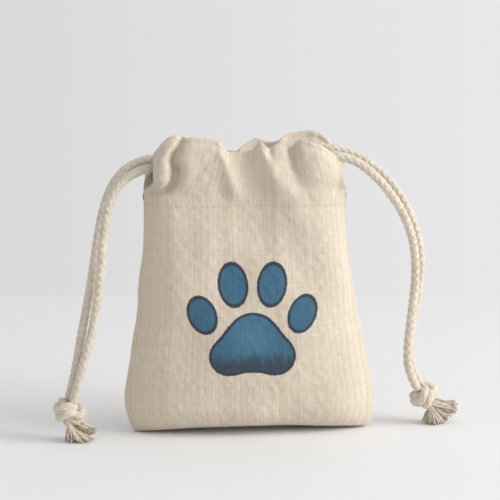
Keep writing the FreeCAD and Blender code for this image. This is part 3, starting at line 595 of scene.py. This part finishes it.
fray_mat = cord_material("frayed_yarn")
left_tassel = tassel_piece("frayed_left_tassel", "left_tassel", "left_drawstring",
                           yarns(11, 130, (-104.4, -19.6, 12.4), 4.1, (0.12, -0.03, -0.99), left_foot, thick=0.42, bulge=2.6)
                           + yarns(14, 46, (-101.6, -19.6, 12.0), 3.0, (0.75, -0.03, -0.66), left_side_end, thick=0.42, bulge=1.6, low=1.2))
right_tassel = tassel_piece("frayed_right_tassel", "right_tassel", "right_drawstring",
                            yarns(12, 100, (106.8, 4.2, 12.2), 3.9, (0.35, -0.02, -0.93), right_foot, thick=0.42, bulge=2.3)
                            + yarns(13, 84, (107.2, 4.2, 13.0), 3.7, (0.9, -0.02, -0.42), right_side_end, thick=0.42, bulge=1.0, low=4.2)
                            + yarns(15, 54, (107.4, 4.2, 11.8), 3.2, (0.72, -0.02, -0.69), right_low_end, thick=0.42, bulge=1.2, low=1.0))

# ---------------------------------------------------------------- the bag's cloth
HALF_FLAT = 75.0                       # half the flat width of each panel, mm
M = 168                                # columns across a panel
Z_SLIT, Z_STITCH = 140.0, 134.5

ZS = [0, 1, 3, 6, 9, 16, 23, 30, 37, 44, 51, 58, 65, 75, 82, 89, 96, 103, 110, 117, 121, 142, 149, 175]
XL = [-66.4, -67.2, -68.3, -69.5, -70.5, -72.0, -72, -70.9, -69.6, -68.4, -67.6, -66.5, -65, -63.9, -63.8, -63.2, -62.2, -60.9, -60.4, -60.2, -60, -60, -59.4, -58.6]
XR = [68.8, 70.4, 72.0, 72.9, 73.3, 73.4, 72.9, 71.8, 69.8, 68.4, 67.3, 66, 64.2, 62.8, 61.6, 60.4, 59, 57.8, 57.1, 56.7, 56.3, 55.8, 55.8, 56.2]

# height of the front and back lips along the mouth
FRONT_LIP = [(-57, 158.0), (-54.9, 161.6), (-53.7, 163.8), (-52.1, 166.2), (-49.7, 169.4), (-46.6, 172.1), (-42.7, 173.4), (-38.8, 172.6), (-35.7, 171.2),
             (-33.2, 172.5), (-29.3, 171.9), (-23.1, 171.2), (-18.3, 170.0), (-15.9, 167.5), (-14.4, 164.7), (-12.0, 163.4), (-7.4, 163.6),
             (-2.6, 163.5), (0.5, 164.1), (2.7, 166.4), (4.4, 169.6), (6.1, 169.8), (7.8, 167.0), (9.5, 165.4), (11.8, 166.8), (14.6, 168.2),
             (18.0, 167.6), (20.8, 165.6), (23.1, 165.2), (25.3, 168.6), (27.6, 170.6), (31.0, 170.1), (34.4, 168.9), (37.8, 167.8), (42.3, 165.5),
             (45.7, 162.7), (49.2, 159.3), (52.1, 155.3), (54, 151)]
BACK_LIP = [(-59.5, 153), (-55.8, 157.5), (-53.4, 161.1), (-49.9, 164.6), (-44.1, 166.8), (-26.8, 166.7), (-16.4, 164.4), (-11.8, 161.8), (-6.0, 161.6),
            (-3.6, 163.7), (-0.7, 165.7), (2.2, 166.9), (5.7, 168.8), (7.4, 168.5), (9.7, 167.1), (13.8, 166.5), (17.3, 167.3), (23.1, 170.9),
            (31.9, 172.6), (38.7, 173.0), (44.2, 170.8), (48.3, 167.0), (53.6, 162.0), (56.9, 156.0)]

# folds: points (x, z, height, half width), mm; height outwards is positive
FRONT_FOLDS = [
    [(-44.5, 172, 2.6, 6.5), (-48.8, 163.4, 4.6, 6.4), (-50.0, 154.5, 5.8, 6.4), (-50.4, 148.5, 5.2, 6.0), (-51.0, 144.6, 3.0, 4.4)],
    [(-35.4, 175, -3.6, 2.0), (-40.4, 166.6, -5.2, 2.0), (-43.8, 162.2, -5.8, 2.1), (-44.2, 158.4, -7.0, 2.3), (-42.4, 155.0, -8.0, 2.6),
     (-42.2, 151.6, -8.2, 2.7), (-43.4, 147.4, -7.2, 2.6), (-46.6, 143.3, -5.4, 2.3), (-51.3, 141.4, -4.2, 2.1), (-57.4, 141.0, -3.0, 2.0)],
    [(-37, 166, 1.2, 5), (-36.5, 156, 2.4, 5), (-37, 147, 1.8, 5.5), (-37, 138, 0.4, 7)],
    [(-26.5, 173, 2.4, 11), (-26.5, 160, 3.4, 12), (-26.5, 148, 2.6, 12), (-26, 136, 1.0, 13), (-26, 124, 0.2, 14)],
    [(-17.1, 169, 1.6, 3.4), (-14.9, 158.7, 3.0, 3.7), (-11.6, 148.6, 3.6, 4.0), (-9.0, 141.8, 2.4, 4.4), (-6.5, 133, 0.3, 6.0)],
    [(-19.5, 148.1, -0.8, 4.2), (-15.8, 139.6, -1.7, 4.8), (-11, 130, -0.5, 6)],
    [(-4, 168, -1.2, 6), (-3, 155, -1.2, 7), (0, 142, -1.7, 8.5), (-3, 120, -1.9, 11), (-6, 100, -1.0, 13), (-6, 85, -0.1, 15)],
    [(4.4, 172, 2.8, 4.0), (7.6, 161.4, 4.6, 4.6), (11.4, 151.8, 5.0, 5.2), (16.2, 142.8, 4.0, 6.2), (21, 134.3, 2.0, 8.0), (26, 122, 0.3, 10)],
    [(8.6, 174, -2.6, 1.2), (10.2, 165, -1.9, 1.3), (12.2, 159, -0.7, 1.6)],
    [(13.6, 170, 2.0, 4.4), (15.6, 158.5, 2.0, 4.8), (19, 150, 1.2, 5.4), (23, 141, 0.4, 6.5)],
    [(22.6, 176, -5.4, 2.6), (23.2, 164.1, -5.8, 2.7), (24.0, 156, -4.4, 3.0), (26.4, 148, -1.9, 3.6), (29.5, 139, -0.4, 5.0)],
    [(34, 173, 2.6, 8.5), (35.5, 163, 4.4, 10.5), (35.5, 152, 4.6, 11.5), (34, 142.6, 3.0, 12.5), (33, 130, 1.1, 14), (32, 112, 0.2, 16)],
    [(50.5, 158, -1.6, 3.4), (51.5, 149, -2.6, 3.0), (50.5, 141, -1.6, 3.6), (49, 132, -0.4, 5)],
    [(12, 26, -0.3, 12), (17, 15, -2.2, 11), (24, 7, -2.4, 12)],
    [(-46, 100, 0.5, 10), (-50, 60, 0.9, 13), (-53, 26, 1.0, 13)],
    [(44, 96, 0.4, 11), (48, 50, 0.8, 13), (52, 22, 0.9, 12)],
]
BACK_FOLDS = [
    [(-46, 170, 2.4, 5), (-46, 156, 4.0, 5.5), (-44, 144, 2.4, 6.5), (-42, 130, 0.4, 8)],
    [(-33, 172, -3.0, 3.4), (-34, 158, -4.6, 3.8), (-33, 146, -2.6, 4.6), (-31, 134, -0.4, 6)],
    [(-19, 170, 2.6, 5.5), (-20, 157, 3.8, 6.0), (-21, 145, 2.4, 7.5), (-22, 128, 0.4, 10)],
    [(-6, 168, -3.2, 3.4), (-5, 156, -4.6, 3.8), (-6, 146, -2.8, 4.6), (-8, 132, -0.5, 7)],
    [(6, 171, 2.8, 5.0), (6.5, 157, 4.0, 5.5), (5, 145, 2.4, 7), (3, 128, 0.4, 10)],
    [(19, 174, -3.0, 3.4), (18, 160, -4.6, 3.8), (17.5, 148, -3.0, 4.4), (17, 134, -0.5, 6)],
    [(33, 174, 2.4, 7.5), (34, 160, 3.8, 8), (33, 146, 2.2, 10), (31, 128, 0.4, 13)],
    [(47, 166, -1.6, 3.6), (47, 154, -2.8, 3.6), (46, 142, -1.4, 5), (44, 130, -0.2, 7)],
]


def fold_field(x, z, folds):
    """Sum of the folds at each (x, z): each is a soft ridge or crease along its line."""
    total = np.zeros(x.shape)
    for pts in folds:
        P = np.array(pts, float)
        best = np.full(x.shape, 1e9)
        hh, ww = np.zeros(x.shape), np.ones(x.shape)
        beyond = np.zeros(x.shape)
        for i in range(len(P) - 1):
            a, b = P[i], P[i + 1]
            dx, dz = b[0] - a[0], b[1] - a[1]
            t = ((x - a[0]) * dx + (z - a[1]) * dz) / (dx * dx + dz * dz)
            tc = np.clip(t, 0, 1)
            d = np.hypot(x - a[0] - tc * dx, z - a[1] - tc * dz)
            near = d < best
            st = tc * tc * (3 - 2 * tc)
            hh = np.where(near, a[2] + (b[2] - a[2]) * st, hh)
            ww = np.where(near, a[3] + (b[3] - a[3]) * tc, ww)
            best = np.where(near, d, best)
        total += hh * np.exp(-((best / ww) ** 2))
    return total


def depth_at(z):
    return soft(z, [0, 18, 40, 60, 80, 105, 120, 134, 145, 175], [21.0, 22.2, 23.4, 23.9, 23.6, 21.3, 19.8, 18.4, 18.2, 18.2], 3.0)


def closed_section(tau, z):
    """How far out the panel stands, from 0 at the side seam to 1 in the middle."""
    w = smoothstep((z - 60) / 80)
    p = 2.5 + 4.0 * w
    q = 0.60 - 0.10 * w
    return np.maximum(1 - np.abs(tau) ** p, 0) ** q


def open_section(tau):
    return 1 - 0.10 * np.abs(tau) ** 3


def side_x(z, front):
    """Left and right ends of a panel at height z."""
    l, r = soft(z, ZS, XL, 1.6), soft(z, ZS, XR, 1.6)
    w = smoothstep((z - Z_SLIT - 0.5) / 7.0)
    if front:
        l = l + w * (-55.2 - l)
        r = r + w * (52.6 - r)
    else:
        l = l + w * (-58.6 - l)
        r = r + w * (56.8 - r)
    return l, r


def cloth_y(x, z, tau, front, seed):
    """Distance of the panel from the middle plane."""
    D = depth_at(z)
    op = smoothstep((z - Z_SLIT) / 8.0)
    g = (1 - op) * closed_section(tau, z) + op * open_section(tau)
    folds = fold_field(x, z, FRONT_FOLDS if front else BACK_FOLDS)
    edge = np.clip((1 - np.abs(tau)) / 0.10, 0, 1)
    keep = edge * edge * (3 - 2 * edge)
    keep = np.maximum(keep, op)
    low = smoothstep(z / 10)
    wide = ripples(x, z, seed, 10, (34, 80), (40, 110)) * 0.45
    drag = ripples(x, z, seed + 1, 10, (10, 22), (60, 160)) * 0.12 * smoothstep((z - 55) / 70)
    fine = ripples(x, z, seed + 2, 24, (5, 14), (5, 16)) * 0.085
    pucker = np.exp(-((1 - np.abs(tau)) / 0.05)) * np.cos(2 * math.pi * z / 10.5 + 1.3 * np.sin(z / 17.0)) * 0.5 * low
    y = D * g + keep * (folds + wide * low + drag + fine) + pucker * (1 - op) * smoothstep((1 - np.abs(tau)) / 0.03)
    # nowhere above the slit does a crease reach the cords inside
    floor = 13.3
    held = floor + np.logaddexp(0, (y - floor) / 0.7) * 0.7
    return y + op * (held - y)


LIFT_X = [-69, -57, -45, -37, -22, 0, 15, 30, 52, 69]
LIFT_Z = [0.3, 0.9, 1.8, 2.5, 3.0, 3.3, 3.2, 2.7, 1.6, 0.5]


def build_panel(front):
    """Rows of points from the bottom seam up the outside, over the lip and down the inside."""
    seed = 40 if front else 80
    zc = 18.0
    lip = FRONT_LIP if front else BACK_LIP
    lx, lz = [p[0] for p in lip], [p[1] for p in lip]
    rows = []      # (kind, parameter)
    for phi in np.linspace(0, math.pi / 2, 27)[:-1]:
        rows.append(("bottom", phi))
    for z in np.linspace(zc, Z_STITCH, 112):
        rows.append(("wall", z))
    for s in np.linspace(0, 1, 37)[1:]:
        rows.append(("casing", s))
    for s in np.linspace(0, 1, 13)[1:]:
        rows.append(("arch", s))
    for s in np.linspace(0, 1, 34)[1:]:
        rows.append(("inner", s))
    out, places, taus = [], [], []
    fine = np.linspace(-1, 1, 601)
    for kind, s in rows:
        # place along the row, first over a fine scale and then at equal steps of cloth
        def place(tau, kind=kind, s=s):
            if kind == "bottom":
                z0 = zc * (1 - math.cos(s)) + 0.0
                l, r = side_x(np.full(tau.shape, z0), front)
                x = l + (r - l) * (tau + 1) / 2
                lift = soft(x, LIFT_X, LIFT_Z, 4.0)
                z = zc - (zc - lift) * math.cos(s)
                g = closed_section(tau, z)
                ys = 3.5 * (1 - tau ** 2)
                y = cloth_y(x, z, tau, front, seed)
                sign = 1.0 if front else -1.0
                # the panel turns under to the seam
                y = y * math.sin(s) ** (0.5 if front else 0.9) - sign * ys * (1 - math.sin(s))
                if not front:
                    dip = np.exp(-((s - 0.42) / 0.30) ** 2) * (1 - math.exp(-s * 9)) * np.clip(g * 1.6, 0, 1)
                    z = z - dip * 1.25 * np.maximum(z - 0.12, 0)
                z = np.maximum(z, 0.12)
                return x, y, z
            if kind == "wall":
                z = np.full(tau.shape, s)
                l, r = side_x(z, front)
                x = l + (r - l) * (tau + 1) / 2
                return x, cloth_y(x, z, tau, front, seed), z
            # above the stitch row, heights follow the lip
            def column(frac, x):
                zt = soft(x, lx, lz, 0.9)
                return Z_STITCH + (zt - 2.6 - Z_STITCH) * frac, zt
            f = s if kind == "casing" else 1.0
            x = 57.0 * tau
            for _ in range(3):
                z, zt = column(f, x)
                l, r = side_x(z, front)
                x = l + (r - l) * (tau + 1) / 2
            z, zt = column(f, x)
            y = cloth_y(x, z, tau, front, seed)
            # the casing is a tube: it leans in at the top and is fullest round the cord
            mid_fold = fold_field(x, np.minimum(z, zt - 3), FRONT_FOLDS if front else BACK_FOLDS) if kind != "casing" else 0
            near_top = smoothstep((z - (zt - 9)) / 9)
            y = y - 2.4 * near_top ** 2 + 0.7 * np.sin(np.clip((z - Z_STITCH) / (zt - Z_STITCH), 0, 1) * math.pi)
            if kind == "casing":
                return x, y, z
            r_in = 2.5
            if kind == "arch":
                a = s * math.pi
                return x, y - r_in * (1 - math.cos(a)), z + 2.6 * math.sin(a)
            # inner ply: full length only between the cords' turns
            full = 1 - smoothstep((np.abs(x) - 29) / 6)
            bottom = (1 - full) * (zt - 8.0) + full * (Z_STITCH - 3)
            zi = (zt - 2.6) + (bottom - (zt - 2.6)) * s
            q = smoothstep(((zt - 2.6) - zi) / 7.0)
            y_out = cloth_y(x, np.minimum(zi, z), tau, front, seed)
            y_in = 6.5 + 0.15 * fold_field(x, zi, FRONT_FOLDS if front else BACK_FOLDS)
            close = smoothstep((Z_STITCH + 9 - zi) / 9)
            y_in = y_in + (y_out - 0.9 - y_in) * close
            y_top = y - 2 * r_in
            return x, y_top + (y_in - y_top) * q, zi

        places.append(place)
        x, y, z = place(fine)
        seg = np.sqrt(np.diff(x) ** 2 + np.diff(y) ** 2 + np.diff(z) ** 2)
        L = np.concatenate([[0], np.cumsum(seg)])
        taus.append(np.interp(np.linspace(0, L[-1], M + 1), L, fine))
    # the threads shift sideways only gradually from row to row
    taus = np.array(taus)
    k = np.arange(-24, 25)
    w = np.exp(-0.5 * (k / 8.0) ** 2)
    w /= w.sum()
    pad = np.pad(taus, ((24, 24), (0, 0)), mode="edge")
    taus = sum(w[i] * pad[i:i + len(taus)] for i in range(49))
    sign = -1.0 if front else 1.0
    for place, tau in zip(places, taus):
        x, y, z = place(tau)
        out.append(np.stack([x, sign * y, z], -1))
    P = np.array(out)
    mid = P[:, M // 2]
    v = along(mid)
    u = np.linspace(-HALF_FLAT, HALF_FLAT, M + 1)
    flat = np.zeros(P.shape)
    flat[..., 0] = u[None, :]
    flat[..., 1] = v[:, None]
    flat[..., 2] = 0 if front else 1
    kinds = [k for k, _ in rows]
    return P, flat, kinds


front_P, front_flat, kinds = build_panel(True)
back_P, back_flat, _ = build_panel(False)
NR = len(kinds)
# the panels are one tube up to the slit: they share the side columns and the bottom row
slit_row = max(i for i, k in enumerate(kinds) if k in ("bottom", "wall") or (k == "casing" and front_P[i, 0, 2] < Z_SLIT))
NF = NR * (M + 1)
front_id = np.arange(NF).reshape(NR, M + 1)
back_id = (NF + np.arange(NF)).reshape(NR, M + 1)
share = np.zeros((NR, M + 1), bool)
share[0, :] = True
share[: slit_row + 1, 0] = share[: slit_row + 1, M] = True
joined = (front_P + back_P) / 2
front_P[share] = joined[share]
back_P[share] = joined[share]
back_id[share] = front_id[share]
all_P = np.vstack([front_P.reshape(-1, 3), back_P.reshape(-1, 3)])
all_flat = np.vstack([front_flat.reshape(-1, 3), back_flat.reshape(-1, 3)])
motif = np.zeros_like(all_P)
motif[:, 0] = all_P[:, 0] - 0.3
motif[:, 1] = all_P[:, 2] - 67.0
motif[:NF, 2] = 1.0


def quads(ids, flip):
    a, b, c, d = ids[:-1, :-1], ids[:-1, 1:], ids[1:, 1:], ids[1:, :-1]
    q = np.stack([a, b, c, d] if not flip else [a, d, c, b], -1)
    return q      # (rows-1, columns, 4)


Qf, Qb = quads(front_id, False), quads(back_id, True)


def vertex_normals(P, Q):
    n = np.zeros_like(P)
    c = np.cross(P[Q[:, 2]] - P[Q[:, 0]], P[Q[:, 3]] - P[Q[:, 1]])
    for k in range(4):
        np.add.at(n, Q[:, k], c)
    return n / np.maximum(np.linalg.norm(n, axis=1), 1e-12)[:, None]


all_Q = np.vstack([Qf.reshape(-1, 4), Qb.reshape(-1, 4)])
all_N = vertex_normals(all_P, all_Q)

canvas = canvas_material("canvas_cloth", True)


def cloth_half(name, cols):
    q = np.vstack([Qf[:, cols].reshape(-1, 4), Qb[:, cols].reshape(-1, 4)])
    used, inv = np.unique(q, return_inverse=True)
    ob = make_mesh(name, all_P[used], inv.reshape(-1, 4), all_N[used])
    store(ob, "flat", all_flat[used])
    store(ob, "motif", motif[used])
    ob.data.materials.append(canvas)
    return ob


left_half = cloth_half("canvas_left_half", slice(0, M // 2))
right_half = cloth_half("canvas_right_half", slice(M // 2, M))


def gather(ob):
    """Bakes the object's world transform into its mesh."""
    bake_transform(ob)


gather(left_half)
gather(right_half)
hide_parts("front_panel", "front_casing", "left_side_seam", "front_print")
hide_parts("back_panel", "back_casing", "right_side_seam", "bottom_seam")


# ---------------------------------------------------------------- stitches
def surface_row(P, z_want):
    """Points of a panel along the height z_want, one a column."""
    rows = [i for i, k in enumerate(kinds) if k in ("wall", "casing")]
    z = P[rows, :, 2]
    i = np.argmin(np.abs(z - z_want), axis=0)
    return P[np.array(rows)[i], np.arange(M + 1)]


def stitches(line, outward, pitch=3.0, length=2.1, r=0.2):
    s = along(line)
    parts = []
    for a in np.arange(1.5, s[-1] - length, pitch):
        k = np.linspace(a, a + length, 7)
        p = np.stack([np.interp(k, s, line[:, c]) for c in range(3)], -1)
        arch = np.sin(np.linspace(0, math.pi, 7)) ** 0.6
        p = p + outward * (arch * 0.26 - 0.13)[:, None]
        parts.append(skin(p, lambda t, q: r * (1 + 0.12 * np.cos(2 * t + q * 3)), 8))
    return parts


def thread_material():
    k = Nodes("sewing_thread")
    u, v, g, _ = k.attr("flat")
    t = k.noise(k.vec(k.m("MULTIPLY", u, 0.8), k.m("MULTIPLY", v, 2.4), 0.0), 1.0, 3.0)
    k.put(k.bsdf.inputs["Base Color"], k.ramp(t, [(0.3, lin(196, 183, 163)), (0.7, lin(222, 211, 193))]))
    fabric_finish(k, 0.7, 0.1)
    k.put(k.bsdf.inputs["Normal"], k.bump(t, 0.0001, 0.5))
    return k.mat


thread = thread_material()
for side, label in ((-1, "left"), (1, "right")):
    parts = []
    for P, outward in ((front_P, np.array([0, -1.0, 0])), (back_P, np.array([0, 1.0, 0]))):
        row = surface_row(P, Z_STITCH - 0.6)
        cols = slice(2, M // 2 + 1) if side < 0 else slice(M // 2, M - 1)
        parts += stitches(row[cols], outward)
    # the bar of close stitches at the foot of the side slit
    edge = front_P[slit_row, 0 if side < 0 else M]
    for k in range(9):
        z = edge[2] - 0.4 - 0.42 * k
        bar = np.stack([np.full(9, edge[0] + side * 0.25), edge[1] + np.linspace(-1.9, 1.9, 9), np.full(9, z)], -1)
        parts.append(skin(bar, lambda t, q: 0.24 + 0 * t, 7))
    v, f, uv = join(parts)
    ob = make_mesh("stitching_" + label, v, f)
    store(ob, "flat", uv)
    ob.data.materials.append(thread)
    gather(ob)
    if side < 0:
        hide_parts("front_hem_stitching", "left_bartack")
    else:
        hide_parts("back_hem_stitching", "right_bartack")


def area_of(ob):
    return sum(p.area for p in ob.data.polygons)


print("cloth areas", area_of(left_half), area_of(right_half))
for name, line in cord_lines.items():
    print("cord length", name, round(float(along(line)[-1]), 1))
outside = sum(k in ("bottom", "wall", "casing") for k in kinds)
for name, P in (("front", front_P), ("back", back_P)):
    run = along(P[:, M // 2])
    print("middle column", name, "outside", round(float(run[outside - 1]), 1), "turned down", round(float(run[-1] - run[outside - 1]), 1))

# ---------------------------------------------------------------- stage
k = Nodes("pale_floor")
k.put(k.bsdf.inputs["Base Color"], (0.86, 0.86, 0.865, 1))
k.bsdf.inputs["Roughness"].default_value = 0.75
k.bsdf.inputs["Specular IOR Level"].default_value = 0.2
me = bpy.data.meshes.new("floor")
ca, sa = math.cos(AZ), math.sin(AZ)


def floor_pt(x, y):
    return (x * ca - y * sa * 1.0, x * sa + y * ca, 0.0)


me.from_pydata([floor_pt(-3, -2.2), floor_pt(3, -2.2), floor_pt(3, 0.4456), floor_pt(-3, 0.4456)], [], [(0, 1, 2, 3)])
floor = link(bpy.data.objects.new("floor", me))
me.materials.append(k.mat)

world = bpy.data.worlds.new("studio")
scene.world = world
world.use_nodes = True
wt = world.node_tree
bg = wt.nodes["Background"]
tc = wt.nodes.new("ShaderNodeTexCoord")
sep = wt.nodes.new("ShaderNodeSeparateXYZ")
wt.links.new(tc.outputs["Generated"], sep.inputs[0])
rmp = wt.nodes.new("ShaderNodeMapRange")
rmp.inputs[1].default_value, rmp.inputs[2].default_value = -0.06, 0.24
rmp.inputs[3].default_value, rmp.inputs[4].default_value = 0.0, 1.0
wt.links.new(sep.outputs[0], rmp.inputs[0])
mx = wt.nodes.new("ShaderNodeMix")
mx.data_type = "RGBA"
mx.inputs[6].default_value = (*lin(217, 217, 218), 1)
mx.inputs[7].default_value = (*lin(233, 233, 234), 1)
wt.links.new(rmp.outputs[0], mx.inputs[0])
wt.links.new(mx.outputs[2], bg.inputs[0])
lp = wt.nodes.new("ShaderNodeLightPath")
st = wt.nodes.new("ShaderNodeMapRange")
st.inputs[3].default_value, st.inputs[4].default_value = 0.85, 1.0
wt.links.new(lp.outputs["Is Camera Ray"], st.inputs[0])
wt.links.new(st.outputs[0], bg.inputs[1])


def area_light(name, loc, aim, size, power, colour=(1, 1, 1)):
    l = bpy.data.lights.new(name, "AREA")
    l.shape = "DISK"
    l.size = size
    l.energy = power
    l.color = colour
    o = link(bpy.data.objects.new(name, l))
    o.location = loc
    o.rotation_mode = "QUATERNION"
    o.rotation_quaternion = (Vector(aim) - Vector(loc)).to_track_quat("-Z", "Y")
    return o


area_light("key", (1.72, -0.60, 0.82), (0, 0, 0.08), 1.5, 31.0, (1.0, 0.985, 0.96))
area_light("top", (0.3, -0.5, 1.9), (0, 0, 0.05), 1.4, 2.5)
